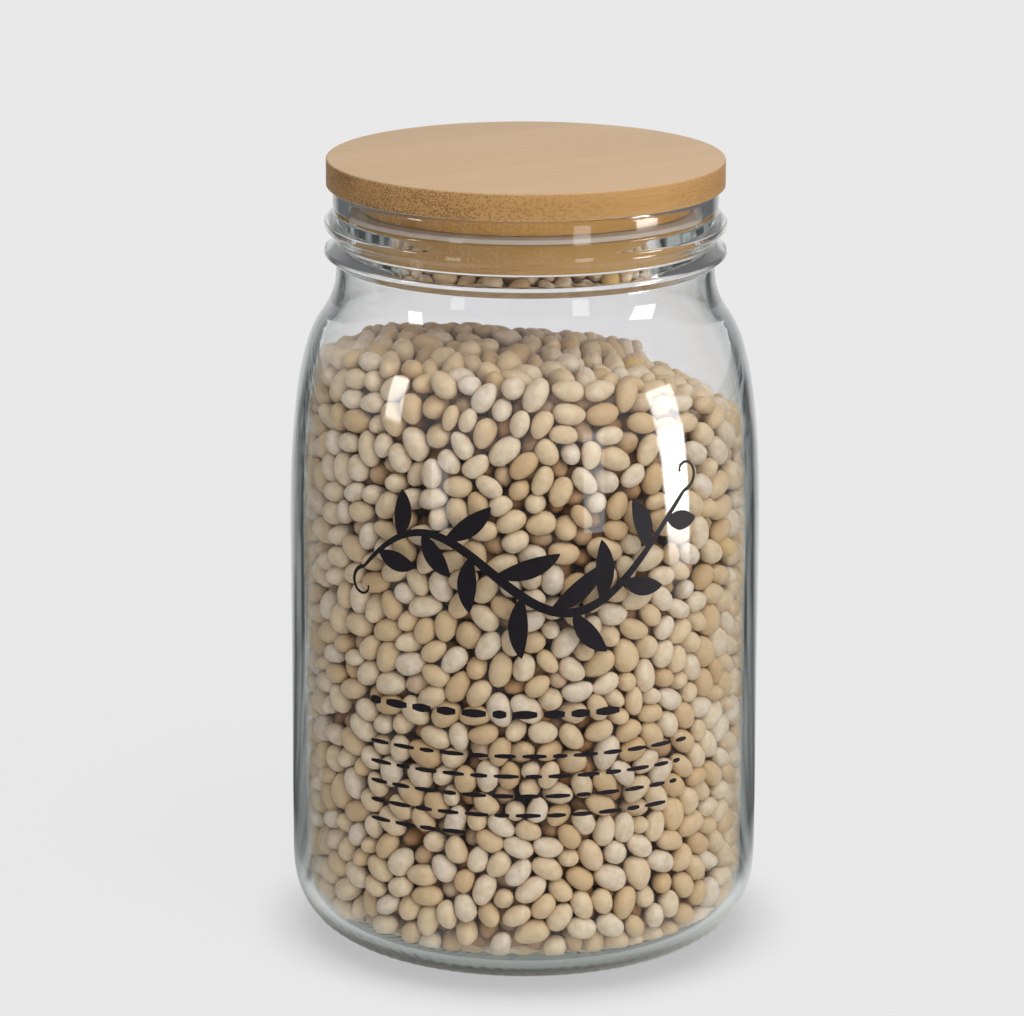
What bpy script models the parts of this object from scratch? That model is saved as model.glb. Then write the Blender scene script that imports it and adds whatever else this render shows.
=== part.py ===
"""Clear glass storage jar with a push-in bamboo lid and a silicone seal.

Metres, +Z up. The origin is the centre of the base on the surface the jar stands on.
The jar is one moulded piece of glass. The lid is three plies of bamboo board, each glued up
from strips that lie side by side: one ply is the flange, two plies are the plug below it.
The seal is a ring in a groove turned into the upper plug ply.
"""
from math import cos, pi, radians, sin

import bmesh
import bpy
from mathutils import Matrix, Vector

# ---- driving dimensions ---------------------------------------------------------------------
LID_RADIUS = 0.0500
TOTAL_HEIGHT = 0.2010
FLANGE_THICKNESS = 0.0070
SEAT_GAP = 0.0003              # between the lid and the rim, and round the seal

BODY_RADIUS = 0.0598
WALL = 0.0033
FOOT_RADIUS = 0.0400           # outer edge of the flat ring that the jar stands on
FOOT_WIDTH = 0.0040
HEEL_HEIGHT = 0.0205
FLOOR_THICKNESS = 0.0030
FLOOR_RADIUS = 0.0420          # flat part of the inner floor
INNER_HEEL_HEIGHT = 0.0162
PUSH_UP = 0.0014               # how far the middle of the base is raised
CAP_RADIUS = 0.0100            # flat disc at the middle of the floor and of the base

NECK_RADIUS = 0.0477
TURN_RADIUS = 0.0518           # where the flare changes from hollow to round
FINISH_RADIUS = 0.0484         # plain outer wall just below the lid
BEAD_RADIUS = 0.0506           # outer radius of both rings round the mouth
BORE_RADIUS = 0.0452

PLUG_RADIUS = 0.0432
PLY_THICKNESS = 0.0066
GROOVE_DEPTH = 0.0020
GROOVE_TOP = 0.0047            # from the flange's underside down to the groove
SEAL_RADIUS = BORE_RADIUS - SEAT_GAP
GLUE_GAP = 0.0001              # between one strip or ply and the next
STRIP_WIDTH = 0.0200
STRIP_COUNT = 5
GRAIN_ANGLE = radians(35)      # direction of the strips, from +X towards +Y

STEPS = 64                     # segments round each turned piece

# ---- heights worked out from them -----------------------------------------------------------
FLANGE_BOTTOM = TOTAL_HEIGHT - FLANGE_THICKNESS
RIM_TOP = FLANGE_BOTTOM - SEAT_GAP
UPPER_PLY_TOP = FLANGE_BOTTOM - GLUE_GAP
UPPER_PLY_BOTTOM = UPPER_PLY_TOP - PLY_THICKNESS
LOWER_PLY_TOP = UPPER_PLY_BOTTOM - GLUE_GAP
LOWER_PLY_BOTTOM = LOWER_PLY_TOP - PLY_THICKNESS
SHOULDER_TOP = RIM_TOP - 0.0218
SHOULDER_TURN = RIM_TOP - 0.0329
SHOULDER_BOTTOM = RIM_TOP - 0.0887


# ---- outlines: lists of (radius, height) ----------------------------------------------------
def bezier(start, handle_a, handle_b, end, steps):
    """Points along a cubic curve, without its first point."""
    points = []
    for i in range(1, steps + 1):
        t = i / steps
        u = 1 - t
        weights = (u ** 3, 3 * u * u * t, 3 * u * t * t, t ** 3)
        ends = (start, handle_a, handle_b, end)
        points.append(tuple(sum(w * p[k] for w, p in zip(weights, ends)) for k in (0, 1)))
    return points


def rounded(corners, steps=2):
    """Turn (radius, height, corner radius) into an outline whose corners are arcs."""
    points = []
    for i, (x, z, corner) in enumerate(corners):
        here = Vector((x, z))
        if corner == 0 or i in (0, len(corners) - 1):
            points.append((x, z))
            continue
        before = (Vector(corners[i - 1][:2]) - here).normalized()
        after = (Vector(corners[i + 1][:2]) - here).normalized()
        half_angle = before.angle(after) / 2
        reach = corner / (sin(half_angle) / cos(half_angle))
        middle = here + (before + after).normalized() * (corner / sin(half_angle))
        first = here + before * reach - middle
        last = here + after * reach - middle
        clockwise = first.angle_signed(last)
        for k in range(steps + 1):
            spoke = Matrix.Rotation(-clockwise * k / steps, 2) @ first
            points.append(tuple(middle + spoke))
    return points


def heel(body_radius, top, foot_radius, bottom, fullness, steps):
    """The rounded corner between a vertical wall above and a flat base below."""
    points = []
    for i in range(steps + 1):
        t = pi / 2 * (1 - i / steps)
        radius = foot_radius + (body_radius - foot_radius) * sin(t) ** (2 / fullness)
        height = bottom + (top - bottom) * (1 - cos(t) ** (2 / fullness))
        points.append((radius, height))
    return points


def shoulder(inset, top_radius):
    """The flare from the neck, through the hollow, round to the vertical wall."""
    top = Vector((top_radius, SHOULDER_TOP))
    turn = Vector((TURN_RADIUS - inset, SHOULDER_TURN - 0.3 * inset))
    wall = Vector((BODY_RADIUS - inset, SHOULDER_BOTTOM))
    slope = Vector((0.6, -0.8))
    hollow = bezier(top, top - Vector((0, 0.0050)), turn - slope * 0.0020, turn, 3)
    dome = bezier(turn, turn + slope * 0.0100, wall + Vector((0, 0.0250)), wall, 6)
    return [tuple(top)] + hollow + dome


def glass_outline():
    """From the middle of the inner floor, up the inside, over the rim, and down the outside."""
    floor = PUSH_UP + FLOOR_THICKNESS
    inner_heel = heel(BODY_RADIUS - WALL, floor + INNER_HEEL_HEIGHT, FLOOR_RADIUS, floor, 2.6, 4)
    inside = [(CAP_RADIUS, floor)] + inner_heel[::-1] + shoulder(WALL, BORE_RADIUS)[::-1]
    finish = rounded([
        (BORE_RADIUS, SHOULDER_TOP + 0.0020, 0),
        (BORE_RADIUS, RIM_TOP, 0.0012),
        (FINISH_RADIUS, RIM_TOP, 0.0012),
        (FINISH_RADIUS, RIM_TOP - 0.0062, 0.0008),
        (BEAD_RADIUS, RIM_TOP - 0.0084, 0.0010),
        (BEAD_RADIUS, RIM_TOP - 0.0100, 0.0010),
        (NECK_RADIUS - 0.0003, RIM_TOP - 0.0134, 0.0005),
        (BEAD_RADIUS, RIM_TOP - 0.0157, 0.0010),
        (BEAD_RADIUS, RIM_TOP - 0.0169, 0.0008),
        (NECK_RADIUS, RIM_TOP - 0.0188, 0.0006),
        (NECK_RADIUS, SHOULDER_TOP, 0),
    ])
    outside = shoulder(0, NECK_RADIUS)[1:] + heel(BODY_RADIUS, HEEL_HEIGHT, FOOT_RADIUS, 0, 2.4, 6)
    inner_edge = FOOT_RADIUS - FOOT_WIDTH
    base = [(inner_edge, 0)] + bezier((inner_edge, 0), (inner_edge - 0.0030, 0),
                                      (inner_edge - 0.0050, PUSH_UP), (inner_edge - 0.0120, PUSH_UP), 3)
    return inside + finish + outside + base + [(CAP_RADIUS, PUSH_UP)]


def disc_outline(radius, top, bottom, top_bevel, bottom_bevel):
    """A turned disc with a narrow bevel round each edge."""
    return [
        (radius - top_bevel, top),
        (radius, top - top_bevel),
        (radius, bottom + bottom_bevel),
        (radius - bottom_bevel, bottom),
    ]


def grooved_outline():
    """The upper plug ply, with the seal's groove cut from its lower edge."""
    groove_top = FLANGE_BOTTOM - GROOVE_TOP
    return [
        (PLUG_RADIUS, UPPER_PLY_TOP),
        (PLUG_RADIUS, groove_top),
        (PLUG_RADIUS - GROOVE_DEPTH, groove_top),
        (PLUG_RADIUS - GROOVE_DEPTH, UPPER_PLY_BOTTOM),
    ]


def seal_outline():
    """A flat band in the groove whose soft rounded edge reaches the bore."""
    top = FLANGE_BOTTOM - GROOVE_TOP - GLUE_GAP
    bottom = LOWER_PLY_TOP + GLUE_GAP
    back = PLUG_RADIUS - GROOVE_DEPTH + SEAT_GAP
    shoulder_radius = PLUG_RADIUS + 0.0004
    return rounded([
        (back, top, 0),
        (shoulder_radius, top, 0.0003),
        (SEAL_RADIUS, top - 0.0004, 0.0002),
        (SEAL_RADIUS, bottom + 0.0004, 0.0002),
        (shoulder_radius, bottom, 0.0003),
        (back, bottom, 0),
    ])


# ---- Blender objects ------------------------------------------------------------------------
def start_scene():
    """Empty the scene and make one collection for the parts and one for the cutters."""
    for item in list(bpy.data.objects):
        bpy.data.objects.remove(item, do_unlink=True)
    made = []
    for name in ("mason_jar", "cutters"):
        collection = bpy.data.collections.new(name)
        bpy.context.scene.collection.children.link(collection)
        made.append(collection)
    return made


def material(name, colour, roughness, transmission=0.0, ior=1.5):
    """A Principled BSDF in one colour."""
    made = bpy.data.materials.new(name)
    made.use_nodes = True
    shader = made.node_tree.nodes["Principled BSDF"]
    shader.inputs["Base Color"].default_value = (*colour, 1)
    shader.inputs["Roughness"].default_value = roughness
    shader.inputs["Metallic"].default_value = 0.0
    shader.inputs["Transmission Weight"].default_value = transmission
    shader.inputs["IOR"].default_value = ior
    made.diffuse_color = (*colour, 1)
    return made


def turned(name, outline, collection, ring=False):
    """Turn an outline about Z. A ring's outline is a loop; any other is capped flat at both ends."""
    mesh = bpy.data.meshes.new(name)
    count = len(outline)
    edges = [(i, i + 1) for i in range(count - 1)]
    if ring:
        edges.append((count - 1, 0))
    mesh.from_pydata([(r, 0, z) for r, z in outline], edges, [])
    piece = bpy.data.objects.new(name, mesh)
    collection.objects.link(piece)
    screw = piece.modifiers.new("turn", "SCREW")
    screw.axis = "Z"
    screw.steps = STEPS
    screw.render_steps = STEPS
    screw.use_merge_vertices = True
    screw.merge_threshold = 0.00001
    apply_modifiers(piece)
    if not ring:
        cap_open_ends(piece.data)
    shade(piece.data)
    return piece


def apply_modifiers(piece):
    """Replace an object's mesh with its evaluated one."""
    evaluated = piece.evaluated_get(bpy.context.evaluated_depsgraph_get())
    finished = bpy.data.meshes.new_from_object(evaluated)
    piece.modifiers.clear()
    piece.data = finished


def cap_open_ends(mesh):
    """Close each open edge loop with one flat face."""
    work = bmesh.new()
    work.from_mesh(mesh)
    bmesh.ops.holes_fill(work, edges=[edge for edge in work.edges if edge.is_boundary], sides=0)
    bmesh.ops.recalc_face_normals(work, faces=work.faces)
    work.to_mesh(mesh)
    work.free()


def shade(mesh):
    """Smooth round surfaces and crisp edges."""
    mesh.shade_smooth()
    mesh.set_sharp_from_angle(angle=radians(35))


def strip_cutter(index, top, bottom, cutters):
    """A box that covers one strip's share of a ply."""
    bpy.ops.mesh.primitive_cube_add(size=1)
    box = bpy.context.object
    box.name = f"strip_box_{index}"
    for owner in list(box.users_collection):
        owner.objects.unlink(box)
    cutters.objects.link(box)
    across = (index - (STRIP_COUNT - 1) / 2) * STRIP_WIDTH
    box.scale = (3 * LID_RADIUS, STRIP_WIDTH - GLUE_GAP, 2 * (top - bottom))
    box.rotation_euler = (0, 0, GRAIN_ANGLE)
    box.location = (-across * sin(GRAIN_ANGLE), across * cos(GRAIN_ANGLE), (top + bottom) / 2)
    box.hide_render = True
    box.display_type = "WIRE"
    return box


def strips(name, outline, bamboo, parts, cutters, lid_centre):
    """Cut one turned ply into its glued strips."""
    top, bottom = outline[0][1], outline[-1][1]
    for index in range(STRIP_COUNT):
        piece = turned(f"{name}_strip_{index + 1}", outline, parts)
        piece.data.materials.append(bamboo)
        cut = piece.modifiers.new("strip", "BOOLEAN")
        cut.operation = "INTERSECT"
        cut.solver = "EXACT"
        cut.object = strip_cutter(index, top, bottom, cutters)
        piece.parent = lid_centre


def build():
    parts, cutters = start_scene()
    glass = material("glass", (0.86, 0.90, 0.90), 0.02, transmission=1.0, ior=1.5)
    bamboo = material("bamboo", (0.60, 0.42, 0.24), 0.5)
    silicone = material("silicone", (0.62, 0.63, 0.65), 0.4, transmission=0.2, ior=1.41)

    jar = turned("glass_jar", glass_outline(), parts)
    jar.data.materials.append(glass)

    lid_centre = bpy.data.objects.new("lid_centre", None)
    parts.objects.link(lid_centre)
    plies = {
        "lid_flange": disc_outline(LID_RADIUS, TOTAL_HEIGHT, FLANGE_BOTTOM, 0.0006, 0.0003),
        "plug_upper": grooved_outline(),
        "plug_lower": disc_outline(PLUG_RADIUS, LOWER_PLY_TOP, LOWER_PLY_BOTTOM, 0.0003, 0.0010),
    }
    for name, outline in plies.items():
        strips(name, outline, bamboo, parts, cutters, lid_centre)

    seal = turned("silicone_seal", seal_outline(), parts, ring=True)
    seal.data.materials.append(silicone)
    seal.parent = lid_centre


build()
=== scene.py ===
"""The looks of a glass storage jar with a bamboo lid, filled with dried white beans.

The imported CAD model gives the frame. The glass, the lid and the seal are rebuilt here with fine
meshes in the same places, and the beans and the printed ornament ride on the jar.
Metres, +Z up, the same frame as the CAD.
"""

from math import atan2, cos, pi, radians, sin

import bmesh
import bpy
import numpy as np
from mathutils import Matrix, Vector


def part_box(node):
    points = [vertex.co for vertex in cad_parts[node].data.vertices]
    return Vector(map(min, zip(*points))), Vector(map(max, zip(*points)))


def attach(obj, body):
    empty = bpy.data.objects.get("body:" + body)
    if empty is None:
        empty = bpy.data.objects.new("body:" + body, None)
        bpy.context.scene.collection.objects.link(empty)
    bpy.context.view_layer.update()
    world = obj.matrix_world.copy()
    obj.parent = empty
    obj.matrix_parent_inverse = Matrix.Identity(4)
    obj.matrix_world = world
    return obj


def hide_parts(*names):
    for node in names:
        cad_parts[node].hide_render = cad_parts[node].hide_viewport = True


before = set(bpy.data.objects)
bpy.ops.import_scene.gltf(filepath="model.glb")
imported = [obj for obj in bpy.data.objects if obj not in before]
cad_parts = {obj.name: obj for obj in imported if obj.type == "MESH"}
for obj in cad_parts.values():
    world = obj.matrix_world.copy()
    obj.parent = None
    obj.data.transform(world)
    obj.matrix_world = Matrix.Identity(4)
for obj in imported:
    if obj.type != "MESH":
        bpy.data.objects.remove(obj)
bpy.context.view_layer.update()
MM = 0.001
MAKER = np.random.default_rng(11)

# ---- places, read from the frame ------------------------------------------------------------
JAR_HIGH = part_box("glass_jar")[1]
RIM_TOP = JAR_HIGH.z
BODY_RADIUS = JAR_HIGH.x
FLANGE_LOW, FLANGE_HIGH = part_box("lid_flange_strip_3")
LID_TOP = FLANGE_HIGH.z
FLANGE_BOTTOM = FLANGE_LOW.z
PLUG_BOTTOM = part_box("plug_lower_strip_3")[0].z

# ---- the outline's own sizes ----------------------------------------------------------------
WALL = 3.3 * MM
NECK_RADIUS = 47.7 * MM
TURN_RADIUS = 51.8 * MM
FINISH_RADIUS = 48.4 * MM
BEAD_RADIUS = 50.6 * MM
BORE_RADIUS = 45.2 * MM
FOOT_RADIUS = 40.0 * MM
FOOT_WIDTH = 4.0 * MM
HEEL_HEIGHT = 20.5 * MM
PUSH_UP = 1.4 * MM
FLOOR = PUSH_UP + 3.0 * MM
FLOOR_RADIUS = 42.0 * MM
HUB_RADIUS = 4.0 * MM              # of the flat cap that closes the floor and the base
INNER_HEEL_HEIGHT = 16.2 * MM
SHOULDER_TOP = RIM_TOP - 21.8 * MM
SHOULDER_TURN = RIM_TOP - 32.9 * MM
SHOULDER_BOTTOM = RIM_TOP - 88.7 * MM
LID_RADIUS = 50.0 * MM
PLUG_RADIUS = 43.2 * MM
GROOVE_DEPTH = 2.0 * MM
GROOVE_TOP = FLANGE_BOTTOM - 4.7 * MM
GROOVE_BOTTOM = FLANGE_BOTTOM - 6.8 * MM
DARKER_PLUG_TOP = FLANGE_BOTTOM - 5.7 * MM    # below this the plug's side is darker
GRAIN_ANGLE = radians(35)
STRIP_WIDTH = 20.0 * MM

# ---- outlines -------------------------------------------------------------------------------
def bezier(start, handle_a, handle_b, end, steps):
    """Points along a cubic curve, without its first point."""
    t = np.linspace(0, 1, steps + 1)[1:, None]
    ends = [np.array(point) for point in (start, handle_a, handle_b, end)]
    curve = (1 - t) ** 3 * ends[0] + 3 * (1 - t) ** 2 * t * ends[1]
    curve = curve + 3 * (1 - t) * t ** 2 * ends[2] + t ** 3 * ends[3]
    return [tuple(point) for point in curve]


def rounded(corners, steps=6):
    """Turn (radius, height, corner radius) into an outline whose corners are arcs."""
    points = []
    for i, (x, z, corner) in enumerate(corners):
        here = Vector((x, z))
        if corner == 0 or i in (0, len(corners) - 1):
            points.append((x, z))
            continue
        before = (Vector(corners[i - 1][:2]) - here).normalized()
        after = (Vector(corners[i + 1][:2]) - here).normalized()
        half_angle = before.angle(after) / 2
        reach = corner * cos(half_angle) / sin(half_angle)
        middle = here + (before + after).normalized() * (corner / sin(half_angle))
        first = here + before * reach - middle
        last = here + after * reach - middle
        clockwise = first.angle_signed(last)
        for k in range(steps + 1):
            points.append(tuple(middle + Matrix.Rotation(-clockwise * k / steps, 2) @ first))
    return points


def heel(body_radius, top, foot_radius, bottom, fullness, steps):
    """The rounded corner between a vertical wall above and a flat base below."""
    points = []
    for i in range(steps + 1):
        t = pi / 2 * (1 - i / steps)
        radius = foot_radius + (body_radius - foot_radius) * sin(t) ** (2 / fullness)
        height = bottom + (top - bottom) * (1 - cos(t) ** (2 / fullness))
        points.append((radius, height))
    return points


def outer_heel():
    """The outside of the heel, from the wall down to the foot."""
    return heel(BODY_RADIUS, HEEL_HEIGHT, FOOT_RADIUS, 0, fullness=2.4, steps=30)


def inner_heel():
    """The inside of the heel, from the wall down to the floor."""
    inner_radius, top = BODY_RADIUS - WALL, FLOOR + INNER_HEEL_HEIGHT
    return heel(inner_radius, top, FLOOR_RADIUS, FLOOR, fullness=2.6, steps=12)


def shoulder(inset, top_radius):
    """The flare from the neck, through the hollow, round to the vertical wall."""
    top = Vector((top_radius, SHOULDER_TOP))
    turn = Vector((TURN_RADIUS - inset, SHOULDER_TURN - 0.3 * inset))
    wall = Vector((BODY_RADIUS - inset, SHOULDER_BOTTOM))
    slope = Vector((0.6, -0.8))
    hollow = bezier(top, top - Vector((0, 5.0 * MM)), turn - slope * 2.0 * MM, turn, 8)
    dome = bezier(turn, turn + slope * 10.0 * MM, wall + Vector((0, 25.0 * MM)), wall, 16)
    return [tuple(top)] + hollow + dome


def inner_outline():
    """The inside of the glass, from the middle of the floor to the bottom of the bore."""
    return [(HUB_RADIUS, FLOOR)] + inner_heel()[::-1] + shoulder(WALL, BORE_RADIUS)[::-1]


def glass_outline():
    """From the middle of the inner floor, up the inside, over the rim, and down the outside."""
    finish = rounded([
        (BORE_RADIUS, SHOULDER_TOP + 2.0 * MM, 0),
        (BORE_RADIUS, RIM_TOP, 1.2 * MM),
        (FINISH_RADIUS, RIM_TOP, 1.2 * MM),
        (FINISH_RADIUS, RIM_TOP - 6.2 * MM, 0.8 * MM),
        (BEAD_RADIUS, RIM_TOP - 8.4 * MM, 1.0 * MM),
        (BEAD_RADIUS, RIM_TOP - 10.0 * MM, 1.0 * MM),
        (NECK_RADIUS - 0.3 * MM, RIM_TOP - 13.4 * MM, 0.5 * MM),
        (BEAD_RADIUS, RIM_TOP - 15.7 * MM, 1.0 * MM),
        (BEAD_RADIUS, RIM_TOP - 16.9 * MM, 0.8 * MM),
        (NECK_RADIUS, RIM_TOP - 18.8 * MM, 0.6 * MM),
        (NECK_RADIUS, SHOULDER_TOP, 0),
    ])
    outside = shoulder(0, NECK_RADIUS)[1:] + outer_heel()
    edge = FOOT_RADIUS - FOOT_WIDTH
    base = [(FOOT_RADIUS - 1 * MM, 0), (FOOT_RADIUS - 2 * MM, 0), (FOOT_RADIUS - 3 * MM, 0), (edge, 0)]
    base += bezier((edge, 0), (edge - 3 * MM, 0), (edge - 5 * MM, PUSH_UP), (edge - 12 * MM, PUSH_UP), 6)
    return inner_outline() + finish + outside + base + [(HUB_RADIUS, PUSH_UP)]


# ---- meshes ---------------------------------------------------------------------------------
def link(name, mesh):
    """Put a new object with this mesh in the scene."""
    piece = bpy.data.objects.new(name, mesh)
    bpy.context.scene.collection.objects.link(piece)
    return piece


def turned(name, outline, steps, ring=False):
    """Turn an outline about Z into a closed, smooth-shaded mesh; a ring's outline is a loop."""
    outline = np.array(outline)
    angles = np.linspace(0, 2 * pi, steps, endpoint=False)
    count = len(outline)
    spin = np.stack([np.cos(angles), np.sin(angles)], 1)
    points = np.empty((steps, count, 3))
    points[:, :, 0] = spin[:, None, 0] * outline[None, :, 0]
    points[:, :, 1] = spin[:, None, 1] * outline[None, :, 0]
    points[:, :, 2] = outline[None, :, 1]
    faces = []
    rows = count if ring else count - 1
    for i in range(steps):
        a, b = i * count, (i + 1) % steps * count
        for k in range(rows):
            m = (k + 1) % count
            faces.append((a + k, a + m, b + m, b + k))
    if not ring:
        faces.append([i * count for i in range(steps)][::-1])
        faces.append([i * count + count - 1 for i in range(steps)])
    mesh = bpy.data.meshes.new(name)
    mesh.from_pydata(points.reshape(-1, 3).tolist(), [], faces)
    work = bmesh.new()
    work.from_mesh(mesh)
    bmesh.ops.recalc_face_normals(work, faces=work.faces)
    work.to_mesh(mesh)
    work.free()
    mesh.shade_smooth()
    mesh.set_sharp_from_angle(angle=radians(40))
    return link(name, mesh)


# ---- materials ------------------------------------------------------------------------------
def new_material(name):
    """An empty node tree and its output."""
    made = bpy.data.materials.new(name)
    made.use_nodes = True
    made.node_tree.nodes.clear()
    return made, made.node_tree, made.node_tree.nodes.new("ShaderNodeOutputMaterial")


def node(tree, kind, inputs=None, **settings):
    """One node, with its inputs given as values or as other nodes' outputs."""
    made = tree.nodes.new("ShaderNode" + kind)
    for name, value in settings.items():
        setattr(made, name, value)
    for name, value in (inputs or {}).items():
        if isinstance(value, bpy.types.NodeSocket):
            tree.links.new(value, made.inputs[name])
        else:
            made.inputs[name].default_value = value
    return made


def ramp(tree, factor, stops, interpolation="LINEAR"):
    """A colour ramp through (position, colour) stops."""
    made = node(tree, "ValToRGB", {0: factor})
    made.color_ramp.interpolation = interpolation
    points = made.color_ramp.elements
    while len(points) < len(stops):
        points.new(0.5)
    for point, (position, colour) in zip(points, stops):
        point.position = position
        point.color = (*colour, 1)
    return made.outputs[0]


def math(tree, operation, a, b=0.0, clamp=False):
    """One Math node."""
    return node(tree, "Math", {0: a, 1: b}, operation=operation, use_clamp=clamp).outputs[0]


def mix_colour(tree, factor, a, b, blend="MIX"):
    """One colour Mix node. a and b are colours or sockets."""
    made = node(tree, "Mix", data_type="RGBA", blend_type=blend)
    for name, value in (("Factor", factor), ("A", a), ("B", b)):
        wanted = "VALUE" if name == "Factor" else "RGBA"
        socket = next(s for s in made.inputs if s.name == name and s.type == wanted and s.enabled)
        if isinstance(value, bpy.types.NodeSocket):
            tree.links.new(value, socket)
        else:
            socket.default_value = value if name == "Factor" else (*value, 1)
    return next(s for s in made.outputs if s.type == "RGBA" and s.enabled)


def surface(made, output, inputs):
    """Finish a material with one Principled shader."""
    shader = node(made.node_tree, "BsdfPrincipled", inputs).outputs[0]
    made.node_tree.links.new(shader, output.inputs[0])
    return made


def scaled(tree, vector, scale):
    """The coordinates stretched by one factor along each axis."""
    return node(tree, "Mapping", {"Vector": vector, "Scale": scale}).outputs[0]


def noise(tree, vector, detail, scale=1.0):
    """Soft cloudy noise from 0 to 1."""
    return node(tree, "TexNoise", {"Vector": vector, "Scale": scale, "Detail": detail}).outputs[0]


RUN_ALONG_DEPTH = 2.5              # light that has met fewer surfaces than this only crossed the wall
TRAPPED_DEPTH = 3.5                # light that has met more surfaces than this runs straight on


def let_lamps_through(tree, shader, tint):
    """The shader, but clear to shadow rays, to light off matt things and to light long trapped in it."""
    clear = node(tree, "BsdfTransparent", {"Color": (*tint, 1)}).outputs[0]
    rays = node(tree, "LightPath")
    trapped = math(tree, "GREATER_THAN", rays.outputs["Ray Depth"], TRAPPED_DEPTH)
    for share in (trapped, rays.outputs["Is Diffuse Ray"], rays.outputs["Is Shadow Ray"]):
        shader = node(tree, "MixShader", {0: share, 1: shader, 2: clear}).outputs[0]
    return shader


def glass_material():
    """Clear soda-lime glass, grey-green where the view runs along the wall; its dark edges, foot and low
    heel sides are partly its own tint, partly painted shade.
    """
    made, tree, output = new_material("glass")
    facing = node(tree, "LayerWeight", {"Blend": 0.5}).outputs["Facing"]
    # Darker grey-green where the view grazes the wall: partly the glass's own tint, partly painted shade
    # for its dark edges.
    tint = ramp(tree, facing, [
        (0.00, (0.98, 0.98, 0.99)), (0.48, (0.95, 0.955, 0.955)), (0.64, (0.87, 0.895, 0.89)),
        (0.74, (0.74, 0.785, 0.765)), (0.84, (0.44, 0.50, 0.47)), (1.00, (0.22, 0.27, 0.25)),
    ])
    place = node(tree, "TexCoord").outputs["Object"]
    height = node(tree, "SeparateXYZ", {0: place}).outputs[2]
    # Darker green towards the foot: partly the thick foot glass, partly painted shade of the dark
    # underside seen through it.
    foot = ramp(tree, math(tree, "DIVIDE", height, 25 * MM), [
        (0.10, (0.34, 0.41, 0.36)), (0.38, (0.86, 0.89, 0.87)), (1.00, (1, 1, 1)),
    ])
    tint = mix_colour(tree, 1.0, tint, foot, blend="MULTIPLY")
    # Painted shade: the low sides of the heel darken further where the view grazes them.
    low = math(tree, "SUBTRACT", 1.0, math(tree, "DIVIDE", height, 30 * MM), clamp=True)
    shade = ramp(tree, facing, [(0.50, (1, 1, 1)), (0.80, (0.50, 0.54, 0.52))])
    tint = mix_colour(tree, low, tint, shade, blend="MULTIPLY")
    waves = noise(tree, scaled(tree, place, (9, 9, 60)), 1.5)
    bump = node(tree, "Bump", {"Height": waves, "Strength": 0.06, "Distance": 0.0012}).outputs[0]
    shader = node(tree, "BsdfPrincipled", {
        "Base Color": tint, "Roughness": 0.0, "IOR": 1.5, "Transmission Weight": 1.0, "Normal": bump,
    }).outputs[0]
    tree.links.new(let_lamps_through(tree, shader, (0.93, 0.94, 0.94)), output.inputs[0])
    return made


def grain_space(tree):
    """Coordinates that run along the bamboo's fibres, across them, and up."""
    place = node(tree, "TexCoord").outputs["Object"]
    return node(tree, "Mapping", {"Vector": place, "Rotation": (0, 0, -GRAIN_ANGLE)}).outputs[0]


def bamboo_dots(tree, grain, height):
    """The dark bundles of fibre: dots where they are cut across, densest low on the flange's edge."""
    bundles = node(tree, "TexVoronoi", {"Vector": scaled(tree, grain, (9, 1900, 1900)), "Scale": 1.0,
                                        "Randomness": 0.75}).outputs["Distance"]
    patches = noise(tree, scaled(tree, grain, (5, 60, 160)), 1.0)
    low = math(tree, "SUBTRACT", height, FLANGE_BOTTOM)
    low = math(tree, "MULTIPLY", low, 14.0, clamp=True)
    bundles = math(tree, "ADD", bundles, math(tree, "MULTIPLY", math(tree, "SUBTRACT", patches, 0.5), 0.6))
    bundles = math(tree, "ADD", bundles, low)
    return ramp(tree, bundles, [(0.39, (1, 1, 1)), (0.59, (0, 0, 0))])


def bamboo_colour(tree, grain, flat, below):
    """The plain colour: pale on top, strip by strip, browner on the edge and darker on the lowest ply. The
    paler top, browner edge and brighter plug side are partly painted light and shade.
    """
    axes = node(tree, "SeparateXYZ", {0: grain})
    strip = math(tree, "FLOOR", math(tree, "ADD", math(tree, "DIVIDE", axes.outputs[1], STRIP_WIDTH), 0.5))
    strip_tone = node(tree, "TexWhiteNoise", {"W": strip}, noise_dimensions="1D").outputs["Value"]
    broad = noise(tree, scaled(tree, grain, (9, 110, 110)), 2.0)
    # Paler top against browner edge: partly the grain, partly painted light on the top and painted shade
    # on the edge.
    top = mix_colour(tree, broad, (0.525, 0.355, 0.21), (0.578, 0.408, 0.25))
    top = mix_colour(tree, math(tree, "MULTIPLY", strip_tone, 0.45), top, (0.475, 0.316, 0.183))
    edge = mix_colour(tree, broad, (0.34, 0.178, 0.054), (0.43, 0.245, 0.089))
    # The plug's side is brighter than the edge: partly its golden tone, partly painted light against the
    # flange's shade.
    plug = mix_colour(tree, broad, (0.60, 0.30, 0.065), (0.74, 0.41, 0.105))
    side = mix_colour(tree, below, edge, plug)
    darker_low_plug = math(tree, "LESS_THAN", axes.outputs[2], DARKER_PLUG_TOP)
    darker_low_plug = math(tree, "MULTIPLY", darker_low_plug, 0.8)
    side = mix_colour(tree, darker_low_plug, side, (0.51, 0.54, 0.60), blend="MULTIPLY")
    return mix_colour(tree, flat, side, top)


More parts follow.
